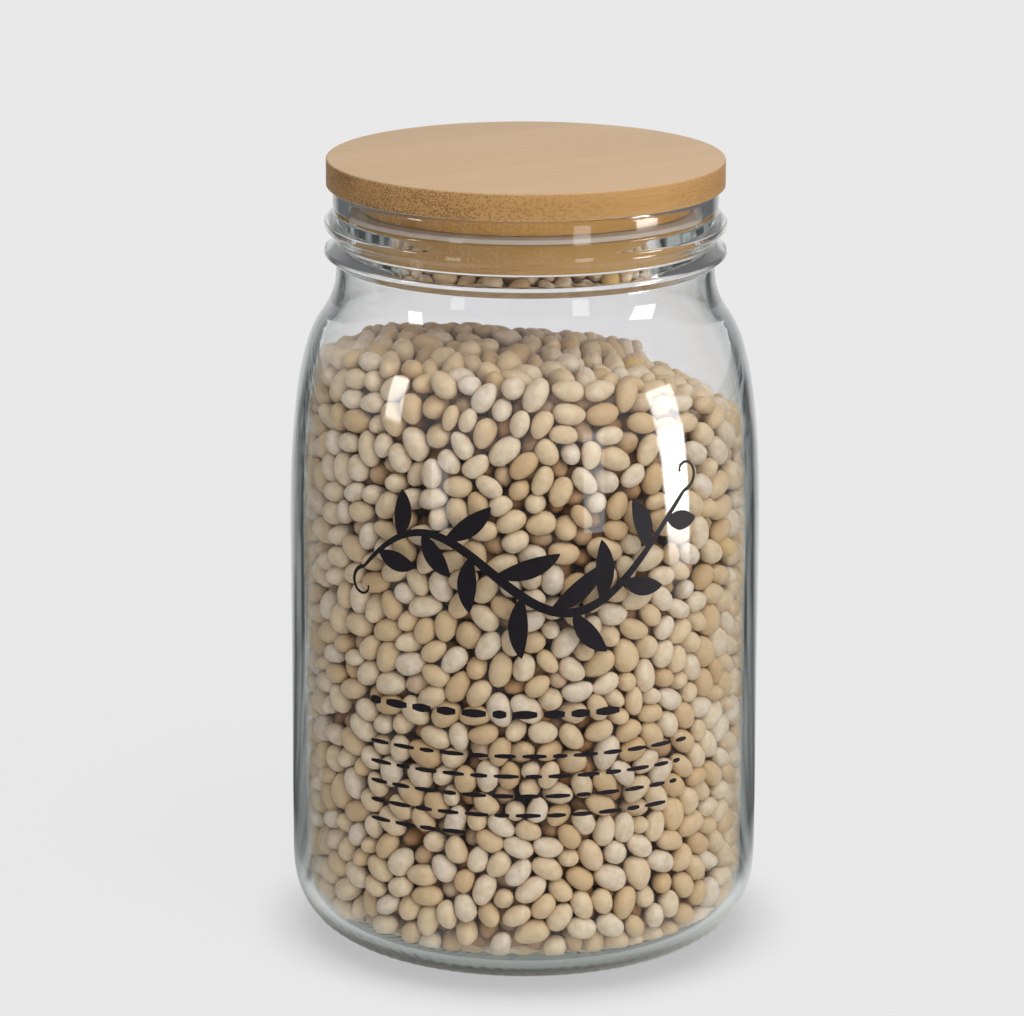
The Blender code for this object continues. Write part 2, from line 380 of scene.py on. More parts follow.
def bamboo_material():
    """Laminated bamboo: fine fibres, dark bundles that show as dots on end grain."""
    made, tree, output = new_material("bamboo")
    grain = grain_space(tree)
    height = node(tree, "SeparateXYZ", {0: grain}).outputs[2]
    # below picks the brighter plug colour, partly painted light.
    below = math(tree, "LESS_THAN", height, FLANGE_BOTTOM)
    normal = node(tree, "NewGeometry").outputs["Normal"]
    # flat picks the paler top colour, partly painted light.
    flat = math(tree, "ABSOLUTE", node(tree, "SeparateXYZ", {0: normal}).outputs[2])
    turned_normal = node(tree, "Mapping", {"Vector": normal, "Rotation": (0, 0, -GRAIN_ANGLE)},
                         vector_type="VECTOR").outputs[0]
    end_grain = math(tree, "ABSOLUTE", node(tree, "SeparateXYZ", {0: turned_normal}).outputs[0])

    dots = bamboo_dots(tree, grain, height)
    end_share = math(tree, "POWER", end_grain, 1.8)
    dot_share = math(tree, "ADD", 0.14, math(tree, "MULTIPLY", end_share, 0.86))
    for part, fewer in ((flat, 0.90), (below, 0.55)):
        left = math(tree, "SUBTRACT", 1.0, math(tree, "MULTIPLY", part, fewer))
        dot_share = math(tree, "MULTIPLY", dot_share, left)
    dot_share = math(tree, "MULTIPLY", dot_share, dots)
    colour = mix_colour(tree, dot_share, bamboo_colour(tree, grain, flat, below), (0.15, 0.07, 0.025))
    fine = noise(tree, scaled(tree, grain, (25, 2400, 2400)), 3.0)
    fibre_share = math(tree, "MULTIPLY", ramp(tree, fine, [(0.45, (0, 0, 0)), (0.75, (1, 1, 1))]), 0.22)
    colour = mix_colour(tree, fibre_share, colour, (0.36, 0.21, 0.09))

    relief = math(tree, "ADD", math(tree, "MULTIPLY", dots, -0.6), math(tree, "MULTIPLY", fine, 0.5))
    bump = node(tree, "Bump", {"Height": relief, "Strength": 0.25, "Distance": 0.0001}).outputs[0]
    return surface(made, output, {
        "Base Color": colour, "Roughness": 0.52, "Normal": bump, "Specular IOR Level": 0.22,
    })


def silicone_material():
    """Translucent pale grey rubber with a satin skin."""
    made, tree, output = new_material("silicone")
    place = node(tree, "TexCoord").outputs["Object"]
    cloud = noise(tree, place, 3.0, scale=160.0)
    colour = mix_colour(tree, cloud, (0.47, 0.40, 0.33), (0.56, 0.49, 0.43))
    bump = node(tree, "Bump", {"Height": cloud, "Strength": 0.08, "Distance": 0.0003}).outputs[0]
    return surface(made, output, {
        "Base Color": colour, "Roughness": 0.36, "IOR": 1.41, "Normal": bump,
        "Subsurface Weight": 0.25, "Subsurface Scale": 0.002,
    })


def bean_material():
    """Dried white beans: ivory skins with a soft sheen, each a little different from the next, and darker
    with painted shade the deeper they lie.
    """
    made, tree, output = new_material("bean_skin")
    own = node(tree, "Attribute", attribute_name="own")
    tones_and_shade = node(tree, "SeparateColor", {0: own.outputs["Color"]})
    place = node(tree, "Attribute", attribute_name="local").outputs["Vector"]
    tone = ramp(tree, tones_and_shade.outputs[0], [
        (0.00, (0.53, 0.35, 0.175)), (0.18, (0.605, 0.435, 0.25)), (0.45, (0.675, 0.52, 0.34)),
        (0.70, (0.71, 0.58, 0.42)), (0.96, (0.70, 0.60, 0.49)), (1.00, (0.63, 0.40, 0.11)),
    ])
    cloud = noise(tree, place, 3.0, scale=1.3)
    colour = mix_colour(tree, ramp(tree, cloud, [(0.35, (0, 0, 0)), (0.7, (0.6, 0.6, 0.6))]), tone,
                        (0.52, 0.35, 0.19))
    specks = noise(tree, place, 2.0, scale=5.0)
    speck_share = math(tree, "MULTIPLY", ramp(tree, specks, [(0.70, (0, 0, 0)), (0.78, (1, 1, 1))]),
                       tones_and_shade.outputs[1])
    colour = mix_colour(tree, speck_share, colour, (0.20, 0.13, 0.08))
    # Painted shade: beans that lie deeper in the heap get a darker colour.
    colour = mix_colour(tree, tones_and_shade.outputs[2], colour, (0.52, 0.33, 0.17), blend="MULTIPLY")
    wrinkles = noise(tree, place, 4.0, scale=4.0)
    bump = node(tree, "Bump", {"Height": wrinkles, "Strength": 0.32, "Distance": 0.0004}).outputs[0]
    return surface(made, output, {
        "Base Color": colour, "Roughness": 0.40, "Normal": bump, "Specular IOR Level": 0.5,
    })


def core_material():
    """The inside of the heap, painted dark brown as the shade deep among the beans."""
    made, tree, output = new_material("bean_shade")
    place = node(tree, "TexCoord").outputs["Object"]
    lumps = node(tree, "TexVoronoi", {"Vector": place, "Scale": 150.0}).outputs["Distance"]
    colour = ramp(tree, lumps, [(0.0, (0.23, 0.14, 0.07)), (0.7, (0.08, 0.045, 0.02))])
    return surface(made, output, {"Base Color": colour, "Roughness": 0.8})


# ---- glass, lid and seal --------------------------------------------------------------------
FOOT_RIBS = 88
RIB_HEIGHT = 0.35 * MM
BEAD_HEIGHT = 0.26 * MM
BEAD_SIZE = 0.55 * MM
BEAD_ROWS = ((2.4 * MM, 0.0), (4.6 * MM, pi))      # height and turn of each row
GLASS_STEPS = FOOT_RIBS * 6


def heel_middle():
    """Heights and radii half way through the glass of the heel, to tell outside from inside."""
    outside = np.array(outer_heel())[::-1]
    inside = np.array(inner_heel())[::-1]
    inner_radius = np.interp(outside[:, 1], inside[:, 1], inside[:, 0])
    return outside[:, 1], (outside[:, 0] + inner_radius) / 2


def make_glass():
    """The jar, with a ring of fine ribs under its foot and two rows of beads above it."""
    piece = turned("glass_body", glass_outline(), GLASS_STEPS)
    mesh = piece.data
    points = np.empty(len(mesh.vertices) * 3)
    mesh.vertices.foreach_get("co", points)
    points = points.reshape(-1, 3)
    radius = np.hypot(points[:, 0], points[:, 1])
    angle = np.arctan2(points[:, 1], points[:, 0])
    outer = np.clip((radius - (FOOT_RADIUS - FOOT_WIDTH)) / (1.0 * MM), 0, 1)
    foot = outer * np.clip(1 - points[:, 2] / (1.6 * MM), 0, 1) * (radius < BODY_RADIUS - 8 * MM)
    points[:, 2] += RIB_HEIGHT * foot * (0.5 - 0.5 * np.cos(FOOT_RIBS * angle))
    for height, shift in BEAD_ROWS:
        band = np.exp(-((points[:, 2] - height) / BEAD_SIZE) ** 2) * (radius > FOOT_RADIUS + 1 * MM)
        band *= radius > np.interp(points[:, 2], *heel_middle())
        bead = np.clip(np.cos(FOOT_RIBS * angle + shift), 0, 1) ** 2
        grow = 1 + BEAD_HEIGHT * band * bead / np.maximum(radius, MM)
        points[:, :2] *= grow[:, None]
    mesh.vertices.foreach_set("co", points.ravel())
    mesh.materials.append(glass_material())
    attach(piece, "jar")
    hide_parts("glass_jar")
    return piece


def lid_outline():
    """Flange and plug as one turned piece, with the seal's groove."""
    groove = PLUG_RADIUS - GROOVE_DEPTH
    return rounded([
        (1.0 * MM, LID_TOP, 0),
        (LID_RADIUS, LID_TOP, 0.5 * MM),
        (LID_RADIUS, FLANGE_BOTTOM, 0.35 * MM),
        (PLUG_RADIUS, FLANGE_BOTTOM, 0.2 * MM),
        (PLUG_RADIUS, GROOVE_TOP, 0.15 * MM),
        (groove, GROOVE_TOP, 0.1 * MM),
        (groove, GROOVE_BOTTOM, 0.1 * MM),
        (PLUG_RADIUS, GROOVE_BOTTOM, 0.15 * MM),
        (PLUG_RADIUS, PLUG_BOTTOM, 0.9 * MM),
        (1.0 * MM, PLUG_BOTTOM, 0),
    ], steps=4)


def make_lid():
    """The glued and turned lid stands for all the strips of its three plies."""
    piece = turned("bamboo_lid", lid_outline(), 256)
    piece.data.materials.append(bamboo_material())
    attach(piece, "lid")
    strips = [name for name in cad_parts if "_strip_" in name]
    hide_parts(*strips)
    return piece


def seal_outline():
    """A band in the groove whose soft rounded edge reaches the bore."""
    top = GROOVE_TOP - 0.1 * MM
    bottom = GROOVE_BOTTOM + 0.1 * MM
    back = PLUG_RADIUS - GROOVE_DEPTH + 0.2 * MM
    lip = BORE_RADIUS - 0.1 * MM
    return rounded([
        (back, top, 0),
        (PLUG_RADIUS + 0.4 * MM, top, 0.3 * MM),
        (lip, top - 0.4 * MM, 0.25 * MM),
        (lip, bottom + 0.4 * MM, 0.25 * MM),
        (PLUG_RADIUS + 0.4 * MM, bottom, 0.3 * MM),
        (back, bottom, 0),
    ], steps=4)


def make_seal():
    """The silicone ring in the plug's groove."""
    piece = turned("seal_ring", seal_outline(), 256, ring=True)
    piece.data.materials.append(silicone_material())
    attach(piece, "lid")
    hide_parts("silicone_seal")
    return piece


# ---- beans ----------------------------------------------------------------------------------
BEAN_RADIUS = 2.68 * MM            # of each of the two balls that stand for one bean
BEAN_SPREAD = 2.25 * MM            # between the two balls' centres
GLASS_GAP = 0.08 * MM              # that every bean keeps to the glass
ALONG_GLASS = 7.0 * MM             # beans nearer to the glass than this lie along it
FLAT_TO_GLASS = 5.0 * MM           # and nearer than this they turn a flat side to it
CORE_RADIUS = 42.5 * MM            # of the space inside, where no bean is made
CORE_BEND = FLOOR + 40.0 * MM      # above this the core leans with the heap's surface
TOP_LAYER = 9.0 * MM               # the depth of the beans over that space
HEAP_MIDDLE = 156.0 * MM           # the surface's height above the middle of the base
HEAP_LIMIT = 166.0 * MM            # a height that no bean reaches
FILL = 0.63                        # share of the space that beans take
TRIES = 400000                     # random places to choose from
PACKING_ROUNDS = 160
SEEN_DEPTH = (3.2 * MM, 6.5 * MM, 6.0 * MM)        # from the glass, the top and the floor
# Painted shade: beans darken with their depth in the heap, from this start over this range.
PAINTED_SHADE_START = 1.2 * MM             # the depth in the heap where beans begin to darken
PAINTED_SHADE_RANGE = 3.6 * MM


def heap_top(x, y):
    """The height of the heap's surface, lower on the right and at the back."""
    mound = HEAP_MIDDLE - 8.0 * MM * (x ** 2 + y ** 2) / (BODY_RADIUS - WALL) ** 2
    fall = 0.08 * x + 0.12 * y + 6.0 * np.clip(x - 20 * MM, 0, None) ** 2
    fall = fall + 3.5 * np.clip(y + 5 * MM, 0, None) ** 2
    return mound - fall + 1.0 * MM * np.cos(70 * x + 1.0) * np.cos(60 * y)


def wall_limit():
    """How far from the axis a ball's centre may be at each height inside the glass."""
    outline = np.array(inner_outline() + [(BORE_RADIUS, RIM_TOP)])
    along = np.gradient(outline, axis=0)
    along /= np.linalg.norm(along, axis=1)[:, None]
    inward = np.stack([-along[:, 1], along[:, 0]], 1)
    offset = outline + inward * BEAN_RADIUS
    order = np.argsort(offset[:, 1])
    return offset[order, 1], offset[order, 0]


def touching_pairs(points, reach):
    """Index pairs of points that lie within reach of each other, found on a grid."""
    cell = np.floor(points / reach).astype(np.int64)
    cell -= cell.min(0)
    size = cell.max(0) + 3
    key = ((cell[:, 0] + 1) * size[1] + cell[:, 1] + 1) * size[2] + cell[:, 2] + 1
    order = np.argsort(key, kind="stable")
    sorted_key = key[order]
    pairs = []
    shifts = [(i, j, k) for i in (-1, 0, 1) for j in (-1, 0, 1) for k in (-1, 0, 1)]
    for shift in [s for s in shifts if s >= (0, 0, 0)]:
        other = key + (shift[0] * size[1] + shift[1]) * size[2] + shift[2]
        low = np.searchsorted(sorted_key, other, "left")
        high = np.searchsorted(sorted_key, other, "right")
        count = high - low
        first = np.repeat(np.arange(len(points)), count)
        step = np.arange(count.sum()) - np.repeat(np.cumsum(count) - count, count)
        second = order[np.repeat(low, count) + step]
        keep = first < second if shift == (0, 0, 0) else np.ones(len(first), bool)
        pairs.append(np.stack([first[keep], second[keep]], 1))
    pairs = np.concatenate(pairs)
    gap = np.linalg.norm(points[pairs[:, 0]] - points[pairs[:, 1]], axis=1)
    return pairs[gap < reach]


def space_for_beans():
    """Random places all through the space that beans are modelled in, and its volume."""
    heights, limits = wall_limit()
    tries = MAKER.random((TRIES, 3))
    low, high = FLOOR, HEAP_LIMIT
    reach = BODY_RADIUS - WALL
    box = (2 * reach) ** 2 * (high - low)
    points = np.stack([(tries[:, 0] * 2 - 1) * reach, (tries[:, 1] * 2 - 1) * reach,
                       low + tries[:, 2] * (high - low)], 1)
    radius = np.hypot(points[:, 0], points[:, 1])
    top = heap_top(points[:, 0], points[:, 1])
    wall = np.interp(points[:, 2], heights, limits) + BEAN_RADIUS
    good = (radius < wall) & (points[:, 2] < top)
    good &= (radius > CORE_RADIUS) | (points[:, 2] > top - TOP_LAYER)
    return points[good], box * good.mean()


def push_apart(points, ball, pairs):
    """Move balls that overlap away from each other."""
    a, b = pairs[:, 0], pairs[:, 1]
    between = points[a] - points[b]
    gap = np.linalg.norm(between, axis=1)
    over = np.clip(ball[a] + ball[b] - gap, 0, None)
    push = between / np.maximum(gap, 1e-9)[:, None] * (over * 0.5)[:, None]
    hits = np.maximum(np.bincount(a, over > 0, len(points)) + np.bincount(b, over > 0, len(points)), 1)
    move = np.stack([np.bincount(a, push[:, k], len(points)) - np.bincount(b, push[:, k], len(points))
                     for k in range(3)], 1)
    return points + move * np.minimum(1.0, 1.9 / hits)[:, None]


def keep_inside(points, ball, heights, limits):
    """Bring balls back under the heap's surface, inside the glass and out of the core."""
    extra = ball - BEAN_RADIUS
    for _ in range(2):
        top = heap_top(points[:, 0], points[:, 1])
        points[:, 2] = np.minimum(points[:, 2], top - ball)
        points[:, 2] = np.maximum(points[:, 2], FLOOR + ball)
        radius = np.hypot(points[:, 0], points[:, 1])
        limit = np.interp(points[:, 2], heights, limits) - extra
        points[:, :2] *= np.minimum(1, limit / radius)[:, None]
        into_core = np.minimum(top - TOP_LAYER - points[:, 2], CORE_RADIUS - radius)
        lift = (into_core > 0) & (into_core >= top - TOP_LAYER - points[:, 2])
        points[lift, 2] += into_core[lift]
        shove = (into_core > 0) & ~lift
        points[shove, :2] *= (CORE_RADIUS / radius[shove])[:, None]


def first_places():
    """Random centres, axes and sizes of beans; those near the glass lie along it."""
    places, volume = space_for_beans()
    bean_volume = 4 / 3 * pi * BEAN_RADIUS ** 2 * (BEAN_RADIUS + BEAN_SPREAD / 2)
    count = int(FILL * volume / bean_volume)
    centre = places[:count].copy()
    axis = MAKER.normal(size=(count, 3))
    outward = centre * (1, 1, 0) / np.hypot(centre[:, 0], centre[:, 1])[:, None]
    near_wall = np.hypot(centre[:, 0], centre[:, 1]) > BODY_RADIUS - WALL - ALONG_GLASS
    axis[near_wall] -= 0.85 * outward[near_wall] * (axis * outward).sum(1)[near_wall, None]
    axis /= np.linalg.norm(axis, axis=1)[:, None]
    size = np.clip(MAKER.normal(1.0, 0.085, count), 0.80, 1.22)
    return centre, axis, size


def pack_beans():
    """Centres and axes of beans that lie against each other and against the glass."""
    centre, axis, size = first_places()
    count = len(centre)
    heights, limits = wall_limit()
    ball = np.concatenate([size, size]) * BEAN_RADIUS
    half = (size * BEAN_SPREAD / 2)[:, None]
    owner = np.concatenate([np.arange(count)] * 2)
    for step in range(PACKING_ROUNDS):
        points = np.concatenate([centre + axis * half, centre - axis * half])
        if step % 6 == 0:
            pairs = touching_pairs(points, 2.7 * BEAN_RADIUS)
            pairs = pairs[owner[pairs[:, 0]] != owner[pairs[:, 1]]]
        points = push_apart(points, ball, pairs)
        settle = 0.03 * MM * (1 - step / PACKING_ROUNDS)
        points[:, 2] -= settle
        radius = np.hypot(points[:, 0], points[:, 1])
        points[:, :2] *= (1 + settle / radius)[:, None]
        keep_inside(points, ball, heights, limits)
        first, second = points[:count], points[count:]
        centre = (first + second) / 2
        axis = first - second
        axis /= np.linalg.norm(axis, axis=1)[:, None]
    return centre, axis, size


def bean_shape(rings, sides):
    """A unit bean: points on a ball, pole to pole along X, and its faces."""
    points = [(1.0, 0.0, 0.0)]
    for i in range(1, rings):
        turn = pi * i / rings
        for k in range(sides):
            lean = 2 * pi * k / sides
            points.append((cos(turn), sin(turn) * cos(lean), sin(turn) * sin(lean)))
    points.append((-1.0, 0.0, 0.0))
    faces = [(0, 1 + k, 1 + (k + 1) % sides) for k in range(sides)]
    for i in range(rings - 2):
        low, high = 1 + i * sides, 1 + (i + 1) * sides
        for k in range(sides):
            m = (k + 1) % sides
            faces.append((low + k, high + k, high + m, low + m))
    low, last = 1 + (rings - 2) * sides, len(points) - 1
    faces += [(last, low + (k + 1) % sides, low + k) for k in range(sides)]
    return np.array(points), faces


def bean_points(unit, centre, axis, size):
    """Every bean's points, first in its own axes and then in the jar."""
    count = len(centre)
    length = (BEAN_RADIUS + BEAN_SPREAD / 2) * size * MAKER.uniform(0.92, 1.10, count)
    width = BEAN_RADIUS * size * MAKER.uniform(0.98, 1.10, count)
    thick = BEAN_RADIUS * size * MAKER.uniform(0.86, 0.98, count)
    bend = MAKER.uniform(0.02, 0.22, count)[:, None]
    taper = MAKER.uniform(-0.14, 0.14, count)[:, None]
    x, y, z = unit[None, :, 0], unit[None, :, 1], unit[None, :, 2]
    fat = 1 + taper * x
    notch = 0.10 * np.exp(-(x / 0.35) ** 2) * np.clip(y, 0, 1) ** 4
    local = np.stack([x * np.ones_like(fat), (y - notch) * fat + bend * (0.4 - x * x), z * fat], 2)
    local = local * np.stack([length, width, thick], 1)[:, None, :]

    outward = centre * (1, 1, 0) / np.hypot(centre[:, 0], centre[:, 1])[:, None]
    free = MAKER.normal(size=(count, 3))
    near_wall = np.hypot(centre[:, 0], centre[:, 1]) > BODY_RADIUS - WALL - FLAT_TO_GLASS
    flat = np.where(near_wall[:, None], outward + 0.25 * free, free)
    flat -= axis * (flat * axis).sum(1)[:, None]
    flat /= np.linalg.norm(flat, axis=1)[:, None]
    side = np.cross(flat, axis)
    points = (centre[:, None, :] + local[:, :, 0:1] * axis[:, None, :]
              + local[:, :, 1:2] * side[:, None, :] + local[:, :, 2:3] * flat[:, None, :])

    heights, limits = wall_limit()
    inner = np.interp(points[..., 2], heights, limits) + BEAN_RADIUS - GLASS_GAP
    radius = np.hypot(points[..., 0], points[..., 1])
    points[..., :2] *= np.minimum(1, inner / radius)[..., None]
    points[..., 2] = np.maximum(points[..., 2], FLOOR + GLASS_GAP)
    return local, points


def copies(name, points, unit_faces):
    """A mesh of many bodies with the same faces. points: bodies, points of each, 3."""
    count, per = points.shape[:2]
    corners = np.array([len(face) for face in unit_faces])
    loops = np.concatenate([np.array(face) for face in unit_faces])
    mesh = bpy.data.meshes.new(name)
    mesh.vertices.add(count * per)
    mesh.loops.add(count * len(loops))
    mesh.polygons.add(count * len(corners))
    mesh.vertices.foreach_set("co", points.ravel())
    all_loops = (loops[None, :] + (np.arange(count) * per)[:, None]).ravel()
    starts = np.concatenate([[0], np.cumsum(corners)[:-1]])
    all_starts = (starts[None, :] + (np.arange(count) * len(loops))[:, None]).ravel()
    mesh.loops.foreach_set("vertex_index", all_loops.astype(np.int32))
    mesh.polygons.foreach_set("loop_start", all_starts.astype(np.int32))
    mesh.update(calc_edges=True)
    mesh.validate()
    return mesh


def bean_meshes(name, centre, axis, size, cover, shape, material):
    """All these beans as one mesh, each its own closed body with its own shape and colour, and with
    painted shade by its depth.
    """
    unit, unit_faces = shape
    count, per = len(centre), len(unit)
    local, points = bean_points(unit, centre, axis, size)
    mesh = copies(name, points, unit_faces)
    own = mesh.attributes.new("own", "FLOAT_COLOR", "POINT")
    tones_and_shade = MAKER.random((count, 4))
    tones_and_shade[:, 1] = (tones_and_shade[:, 1] > 0.6) * tones_and_shade[:, 3]
    # The third channel is painted shade, darker for beans deeper in the heap.
    tones_and_shade[:, 2] = np.clip((cover - PAINTED_SHADE_START) / PAINTED_SHADE_RANGE, 0, 1)
    own.data.foreach_set("color", np.repeat(tones_and_shade, per, axis=0).ravel())
    place = mesh.attributes.new("local", "FLOAT_VECTOR", "POINT")
    seeds = MAKER.uniform(0, 50, (count, 1, 3))
    place.data.foreach_set("vector", (local / BEAN_RADIUS + seeds).ravel())
    mesh.shade_smooth()
    mesh.materials.append(material)
    piece = link(name, mesh)
    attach(piece, "jar")
    return piece


def make_beans():
    """Two or three layers of beans against the glass and on top, round a plain core."""
    centre, axis, size = pack_beans()
    radius = np.hypot(centre[:, 0], centre[:, 1])
    depth = heap_top(centre[:, 0], centre[:, 1]) - centre[:, 2]
    heights, limits = wall_limit()
    from_glass = np.interp(centre[:, 2], heights, limits) - radius
    ways = (from_glass, depth, centre[:, 2] - FLOOR)
    shown = np.any([way < limit for way, limit in zip(ways, SEEN_DEPTH)], axis=0)
    cover = np.minimum(from_glass, 0.5 * (depth - BEAN_RADIUS))
    right = np.abs(np.arctan2(centre[:, 1], centre[:, 0])) < pi / 2
    material = bean_material()
    for name, chosen, detail in (("beans_right", shown & right, (9, 12)),
                                 ("beans_left", shown & ~right, (9, 12)),
                                 ("beans_inner", ~shown, (6, 8))):
        beans = (centre[chosen], axis[chosen], size[chosen], cover[chosen])
        bean_meshes(name, *beans, bean_shape(*detail), material)
    make_core()


def make_core():
    """A plain lump that fills the middle of the heap, where no bean is seen."""
    radius = CORE_RADIUS - 1.5 * MM
    top = HEAP_MIDDLE - TOP_LAYER - 6 * MM
    outline = rounded([
        (1 * MM, top, 0), (radius, top, 6 * MM), (radius, FLOOR + 8 * MM, 12 * MM),
        (FLOOR_RADIUS - 6 * MM, FLOOR + 4 * MM, 2 * MM), (1 * MM, FLOOR + 4 * MM, 0),
    ])
    piece = turned("bean_core", outline, 64)
    mesh = piece.data
    for point in mesh.vertices:
        if point.co.z > CORE_BEND:
            share = (point.co.z - CORE_BEND) / (top - CORE_BEND)
            point.co.z += (heap_top(point.co.x, point.co.y) - HEAP_MIDDLE) * share
    mesh.materials.append(core_material())
    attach(piece, "jar")
    return piece


# ---- printed ornament -----------------------------------------------------------------------
INK_LOW = 0.01 * MM
INK_HIGH = 0.07 * MM
SPRIG_MIDDLE = 110 * MM
RULE_LEFT = -41 * MM
RULE_ROWS = ((73.5, 66, 2.2), (62.8, 85, 1.2), (57.6, 83, 1.2),    # height, length, thickness in mm
             (52.5, 82, 1.2), (47.5, 80, 1.2), (42.6, 30, 1.2))


def outer_radius(height):
    """The radius of the outside of the glass at a height above the heel."""
    outside = np.array(shoulder(0, NECK_RADIUS) + [(BODY_RADIUS, HEEL_HEIGHT)])[::-1]
    return np.interp(height, outside[:, 1], outside[:, 0])


def ribbon(points, faces, middle, widths):
    """Add one stroke: a thin closed band that lies on the glass. middle is (along, height)."""
    middle = np.array(middle)
    along = np.gradient(middle, axis=0)
    along /= np.linalg.norm(along, axis=1)[:, None]
    side = np.stack([-along[:, 1], along[:, 0]], 1) * np.array(widths)[:, None] / 2
    base = sum(len(part) for part in points)
    rows = []
    for edge, lift in ((-1, INK_LOW), (1, INK_LOW), (1, INK_HIGH), (-1, INK_HIGH)):
        flat = middle + edge * side
        angle = flat[:, 0] / BODY_RADIUS
        radius = outer_radius(flat[:, 1]) + lift
        rows.append(np.stack([radius * np.sin(angle), -radius * np.cos(angle), flat[:, 1]], 1))
    count = len(middle)
    points.append(np.stack(rows, 1).reshape(-1, 3))
    for i in range(count - 1):
        for k in range(4):
            m = (k + 1) % 4
            faces.append((base + 4 * i + k, base + 4 * i + m, base + 4 * i + 4 + m, base + 4 * i + 4 + k))
    faces.append(tuple(base + k for k in (3, 2, 1, 0)))
    faces.append(tuple(base + 4 * (count - 1) + k for k in range(4)))


def leaf(points, faces, root, direction, length, width):
    """An almond-shaped leaf that bends a little towards the left."""
    t = np.linspace(0, 1, 18)
    turn = direction + 0.5 * t
    step = np.stack([np.cos(turn), np.sin(turn)], 1) * length / 17
    middle = np.array(root) + np.cumsum(step, 0) - step[0]
    ribbon(points, faces, middle, 0.25 * MM + width * np.sin(pi * t) ** 0.8)


def sprig(points, faces):
    """A long waving stem with leaves on both sides and a curl at each end."""
    t = np.linspace(0, 1, 90)
    along = (-43 + 86 * t) * MM
    height = SPRIG_MIDDLE + (13 * np.sin(2.1 * pi * t + 0.4) - 8 + 16 * t) * MM
    ribbon(points, faces, np.stack([along, height], 1), (0.7 + 1.7 * np.sin(pi * t) ** 0.7) * MM)
    for i, share in enumerate(np.linspace(0.06, 0.94, 13)):
        k = int(share * 89)
        root = (along[k], height[k])
        lean = atan2(height[k + 1] - height[k - 1], along[k + 1] - along[k - 1])
        long = (17 + 5 * sin(3.1 * i)) * MM * (1 - 0.4 * abs(2 * share - 1))
        leaf(points, faces, root, lean + (0.75 if i % 2 else -1.25), long, 4.6 * MM)
    for end, sign in ((0, -1), (-1, 1)):
        turn = np.linspace(0, 4.6, 26)
        size = 4.5 * MM * (1 - turn / 6.5)
        curl = np.stack([along[end] + sign * size * np.sin(turn),
                         height[end] + sign * (4.5 * MM - size * np.cos(turn))], 1)
        ribbon(points, faces, curl, np.linspace(1.0, 0.5, 26) * MM)


def rules(points, faces):
    """Rows of plain dashes under the sprig."""
    for row, (height, length, thick) in enumerate(RULE_ROWS):
        place, end = RULE_LEFT, RULE_LEFT + length * MM
        k = 0
        while place < end - 2 * MM:
            dash = min((3.2 + 3.0 * abs(sin(1.9 * k + 2.3 * row))) * MM, end - place)
            t = np.linspace(0, 1, 6)
            middle = np.stack([place + dash * t, np.full(6, height * MM)], 1)
            ribbon(points, faces, middle, thick * MM * (0.55 + 0.45 * np.sin(pi * t)))
            place += dash + 1.6 * MM
            k += 1


def ink_material():
    """Near-black screen-print ink with a faint unevenness."""
    made, tree, output = new_material("ink")
    place = node(tree, "TexCoord").outputs["Object"]
    grit = noise(tree, place, 2.0, scale=900.0)
    colour = mix_colour(tree, grit, (0.004, 0.003, 0.005), (0.014, 0.011, 0.014))
    rough = math(tree, "ADD", math(tree, "MULTIPLY", grit, 0.15), 0.55)
    return surface(made, output, {
        "Base Color": colour, "Roughness": rough, "Specular IOR Level": 0.2,
    })


def make_print():
    """A generic leaf ornament stands where the jar carries printed lettering."""
    points, faces = [], []
    sprig(points, faces)
    rules(points, faces)
    mesh = bpy.data.meshes.new("printed_ornament")
    mesh.from_pydata(np.concatenate(points).tolist(), [], faces)
    mesh.materials.append(ink_material())
    piece = link("printed_ornament", mesh)
    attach(piece, "jar")


# ---- stage, lights and camera ---------------------------------------------------------------
CAMERA_PLACE = Vector((0, -1.100, 0.4034))
CAMERA_PITCH = radians(14.94)
CAMERA_YAW = radians(0.17)
CAMERA_ROLL = radians(0.13)
CAMERA_LENS = 156.8


def make_camera():
    """The camera, a little above the jar and in front of it."""
    data = bpy.data.cameras.new("camera")
    data.lens = CAMERA_LENS
    data.clip_end = 100
    camera = bpy.data.objects.new("camera", data)
    bpy.context.scene.collection.objects.link(camera)
    turn = Matrix.Rotation(CAMERA_YAW, 4, "Z") @ Matrix.Rotation(pi / 2 - CAMERA_PITCH, 4, "X")
    camera.matrix_world = Matrix.Translation(CAMERA_PLACE) @ turn @ Matrix.Rotation(CAMERA_ROLL, 4, "Z")
    bpy.context.scene.camera = camera


AMBIENT = 0.26                     # brightness of the studio all round
BACKDROP = (0.807, 0.807, 0.807)
SWEEP = 0.62                       # how far to each side the pale sweep reaches, as x / y
EVEN_SHARE = 0.93                  # of the table's tone, which the lamps don't change


def sweep_share(tree, across, back):
    """One on the pale sweep behind the jar, nought in the dark room beside it and in front."""
    slant = math(tree, "DIVIDE", math(tree, "ABSOLUTE", across), math(tree, "MAXIMUM", back, 0.001))
    return ramp(tree, slant, [(SWEEP - 0.12, (1, 1, 1)), (SWEEP + 0.12, (0, 0, 0))])


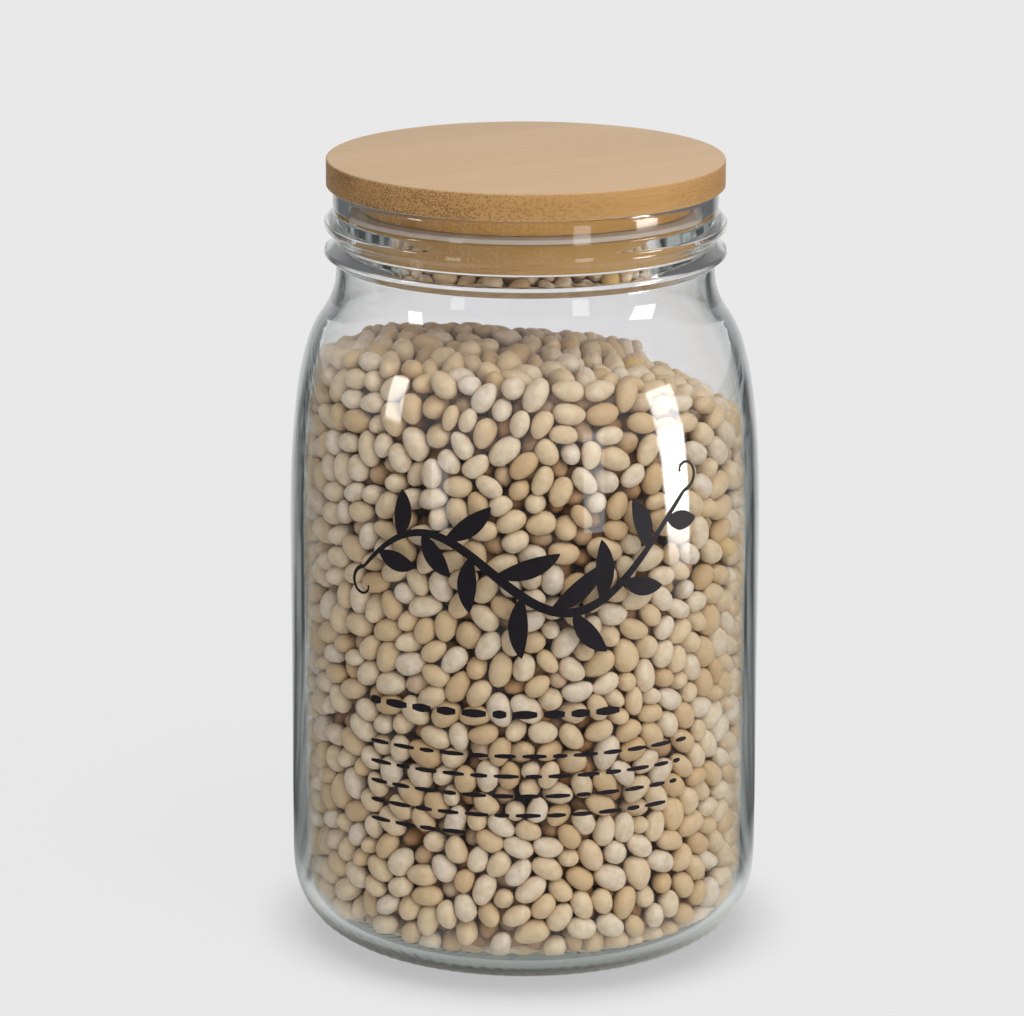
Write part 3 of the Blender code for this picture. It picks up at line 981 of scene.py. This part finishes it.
def seen_along_the_wall(tree, place, away):
    """What light sees that has run along inside the wall: dark streaks round the jar, painted shade that
    glows on the table and shows in the glass's edges.

    Such light has met the glass three times: in, once off the inside of the wall, and out.
    """
    rays = node(tree, "LightPath")
    depth = rays.outputs["Ray Depth"]
    enough = math(tree, "GREATER_THAN", depth, RUN_ALONG_DEPTH)
    share = math(tree, "MULTIPLY", enough, math(tree, "LESS_THAN", depth, TRAPPED_DEPTH))
    share = math(tree, "MULTIPLY", share, rays.outputs["Is Transmission Ray"])
    share = math(tree, "MULTIPLY", share, ramp(tree, away, [(0.068, (0, 0, 0)), (0.085, (1, 1, 1))]))
    azimuth = math(tree, "ARCTAN2", place.outputs[0], place.outputs[1])
    polar = node(tree, "CombineXYZ", {0: azimuth, 1: away}).outputs[0]
    streaks = noise(tree, scaled(tree, polar, (5, 4, 1)), 2.0)
    colour = ramp(tree, streaks, [(0.42, (0.028, 0.035, 0.032)), (0.60, (0.36, 0.39, 0.38))])
    return share, node(tree, "Emission", {"Color": colour}).outputs[0]


def make_floor():
    """A wide pale table top, dim where the glass mirrors it."""
    work = bmesh.new()
    bmesh.ops.create_grid(work, x_segments=2, y_segments=2, size=12)
    mesh = bpy.data.meshes.new("table")
    work.to_mesh(mesh)
    work.free()
    floor = link("table", mesh)
    floor.location.z = -0.0002
    made, tree, output = new_material("table_top")
    place = node(tree, "SeparateXYZ", {0: node(tree, "TexCoord").outputs["Object"]})
    across, back = place.outputs[0], place.outputs[1]
    away = math(tree, "ADD", math(tree, "POWER", across, 2.0), math(tree, "POWER", back, 2.0))
    away = math(tree, "SQRT", away)
    near = ramp(tree, math(tree, "MULTIPLY", away, 5.0), [(0.42, (1, 1, 1)), (0.60, (0, 0, 0))])
    share = math(tree, "MAXIMUM", near, sweep_share(tree, across, back))
    in_glass = mix_colour(tree, share, (0.13, 0.13, 0.135), (0.82, 0.82, 0.82))
    in_glass = node(tree, "BsdfDiffuse", {"Color": in_glass}).outputs[0]
    pale = node(tree, "BsdfDiffuse", {"Color": (0.82, 0.82, 0.82, 1)}).outputs[0]
    # Seen directly, the table mostly glows; ambient occlusion darkens the glow as a painted contact shadow
    # round the jar.
    open_sky = node(tree, "AmbientOcclusion", {"Distance": 0.026}, samples=8).outputs["AO"]
    lit = ramp(tree, open_sky, [(0.36, (0.50, 0.50, 0.51)), (0.78, BACKDROP)])
    glow = node(tree, "Emission", {"Color": lit, "Strength": 1.0}).outputs[0]
    seen = node(tree, "MixShader", {0: EVEN_SHARE, 1: pale, 2: glow}).outputs[0]
    rays = node(tree, "LightPath")
    mixed = node(tree, "MixShader", {0: rays.outputs["Is Diffuse Ray"], 1: in_glass, 2: pale})
    direct = math(tree, "MAXIMUM", rays.outputs["Is Camera Ray"], rays.outputs["Is Transmission Ray"])
    mixed = node(tree, "MixShader", {0: direct, 1: mixed.outputs[0], 2: seen})
    along_wall, streaks = seen_along_the_wall(tree, place, away)
    mixed = node(tree, "MixShader", {0: along_wall, 1: mixed.outputs[0], 2: streaks})
    tree.links.new(mixed.outputs[0], output.inputs[0])
    mesh.materials.append(made)


def make_world():
    """An even pale studio; the part of it that is seen directly matches the table top."""
    world = bpy.data.worlds.new("studio")
    bpy.context.scene.world = world
    world.use_nodes = True
    tree = world.node_tree
    tree.nodes.clear()
    output = tree.nodes.new("ShaderNodeOutputWorld")
    towards = node(tree, "SeparateXYZ", {0: node(tree, "TexCoord").outputs["Generated"]})
    share = sweep_share(tree, towards.outputs[0], towards.outputs[1])
    in_glass = mix_colour(tree, share, (0.28, 0.28, 0.29), BACKDROP)
    in_glass = node(tree, "Background", {"Color": in_glass}).outputs[0]
    backdrop = node(tree, "Background", {"Color": (*BACKDROP, 1)}).outputs[0]
    studio = node(tree, "Background", {"Color": (AMBIENT, AMBIENT, AMBIENT, 1)}).outputs[0]
    rays = node(tree, "LightPath")
    mixed = node(tree, "MixShader", {0: rays.outputs["Is Diffuse Ray"], 1: in_glass, 2: studio})
    direct = math(tree, "MAXIMUM", rays.outputs["Is Camera Ray"], rays.outputs["Is Transmission Ray"])
    mixed = node(tree, "MixShader", {0: direct, 1: mixed.outputs[0], 2: backdrop})
    tree.links.new(mixed.outputs[0], output.inputs[0])


def make_sun(name, azimuth, elevation, spread, strength):
    """A very large, far softbox. Azimuth 0 is in front of the jar, positive to its right."""
    data = bpy.data.lights.new(name, "SUN")
    data.energy = strength
    data.angle = radians(spread)
    lamp = bpy.data.objects.new(name, data)
    bpy.context.scene.collection.objects.link(lamp)
    a, e = radians(azimuth), radians(elevation)
    towards = Vector((sin(a) * cos(e), -cos(a) * cos(e), sin(e)))
    lamp.rotation_euler = towards.to_track_quat("Z", "Y").to_euler()
    lamp.visible_glossy = False
    lamp.visible_transmission = False
    return lamp


def make_softbox(name, normals, near, heights, radiance, top_normals=None, fade=0.12):
    """A soft-edged studio softbox that only reflections see.

    normals: the azimuths of the glass, in degrees, between which the box shows. top_normals: the
    same at its upper edge, where it leans. near: how far from the glass it stands. heights: its
    lower and upper edge. fade: the share of its height over which it dims towards its lower edge.
    """
    corners = []
    low, high = heights
    right_top, left_top = (top_normals or normals)[::-1]
    for azimuth, height in ((normals[0], low), (normals[1], low), (right_top, high), (left_top, high)):
        a = radians(azimuth)
        spot = Vector((BODY_RADIUS * sin(a), -BODY_RADIUS * cos(a), height))
        corners.append(spot + near * Vector((sin(2 * a), -cos(2 * a), 0)))
    mesh = bpy.data.meshes.new(name)
    mesh.from_pydata([tuple(corner) for corner in corners], [], [(0, 1, 2, 3)])
    across = mesh.uv_layers.new(name="across")
    for corner, place in zip(across.data, ((0, 0), (1, 0), (1, 1), (0, 1))):
        corner.uv = place
    box = link(name, mesh)
    made, tree, output = new_material(name)
    place = node(tree, "SeparateXYZ", {0: node(tree, "UVMap", uv_map="across").outputs[0]})
    middle = math(tree, "ABSOLUTE", math(tree, "SUBTRACT", place.outputs[0], 0.5))
    share = ramp(tree, middle, [(0.34, (1, 1, 1)), (0.50, (0, 0, 0))], "EASE")
    upright = [(0.0, (0, 0, 0)), (fade, (1, 1, 1)), (0.88, (1, 1, 1)), (1.0, (0, 0, 0))]
    share = math(tree, "MULTIPLY", share, ramp(tree, place.outputs[1], upright, "EASE"))
    strength = math(tree, "MULTIPLY", share, radiance)
    shader = node(tree, "Emission", {"Color": (1, 0.995, 0.985, 1), "Strength": strength}).outputs[0]
    clear = node(tree, "BsdfTransparent").outputs[0]
    shader = node(tree, "MixShader", {0: share, 1: clear, 2: shader}).outputs[0]
    tree.links.new(shader, output.inputs[0])
    made.cycles.emission_sampling = "NONE"
    mesh.materials.append(made)
    box.visible_camera = False
    box.visible_diffuse = False
    box.visible_shadow = False
    box.visible_transmission = False


def make_lights():
    """The studio round the jar, four broad lamps, and the boxes that show on the glass."""
    make_world()
    make_sun("key", 48, 50, 50, 1.72)
    make_sun("top", -10, 72, 60, 0.85)
    make_sun("front", 26, 16, 40, 1.15)
    make_sun("back", 165, 14, 60, 0.45)
    make_softbox("right_softbox_low", (36.8, 44.6), 0.10, (0.066, 0.148), 24.0, (32.8, 43.0), 0.45)
    make_softbox("right_softbox_high", (33.6, 43.2), 1.20, (0.02, 0.44), 15.0, (31.0, 41.0))
    make_softbox("left_softbox", (-37.5, -31.5), 1.20, (0.16, 0.60), 11.0)
    make_softbox("neck_softbox_right", (13.5, 20.0), 0.60, (-0.05, 0.20), 4.0)
    make_softbox("neck_softbox_left", (-23.5, -18.0), 0.60, (-0.02, 0.12), 3.0)


# ---- build ----------------------------------------------------------------------------------
def colour_management():
    """Colours as they are, without a film look."""
    bpy.context.scene.view_settings.view_transform = "Standard"


colour_management()
make_camera()
make_floor()
make_lights()
make_glass()
make_lid()
make_seal()
make_beans()
make_print()

bpy.context.view_layer.update()
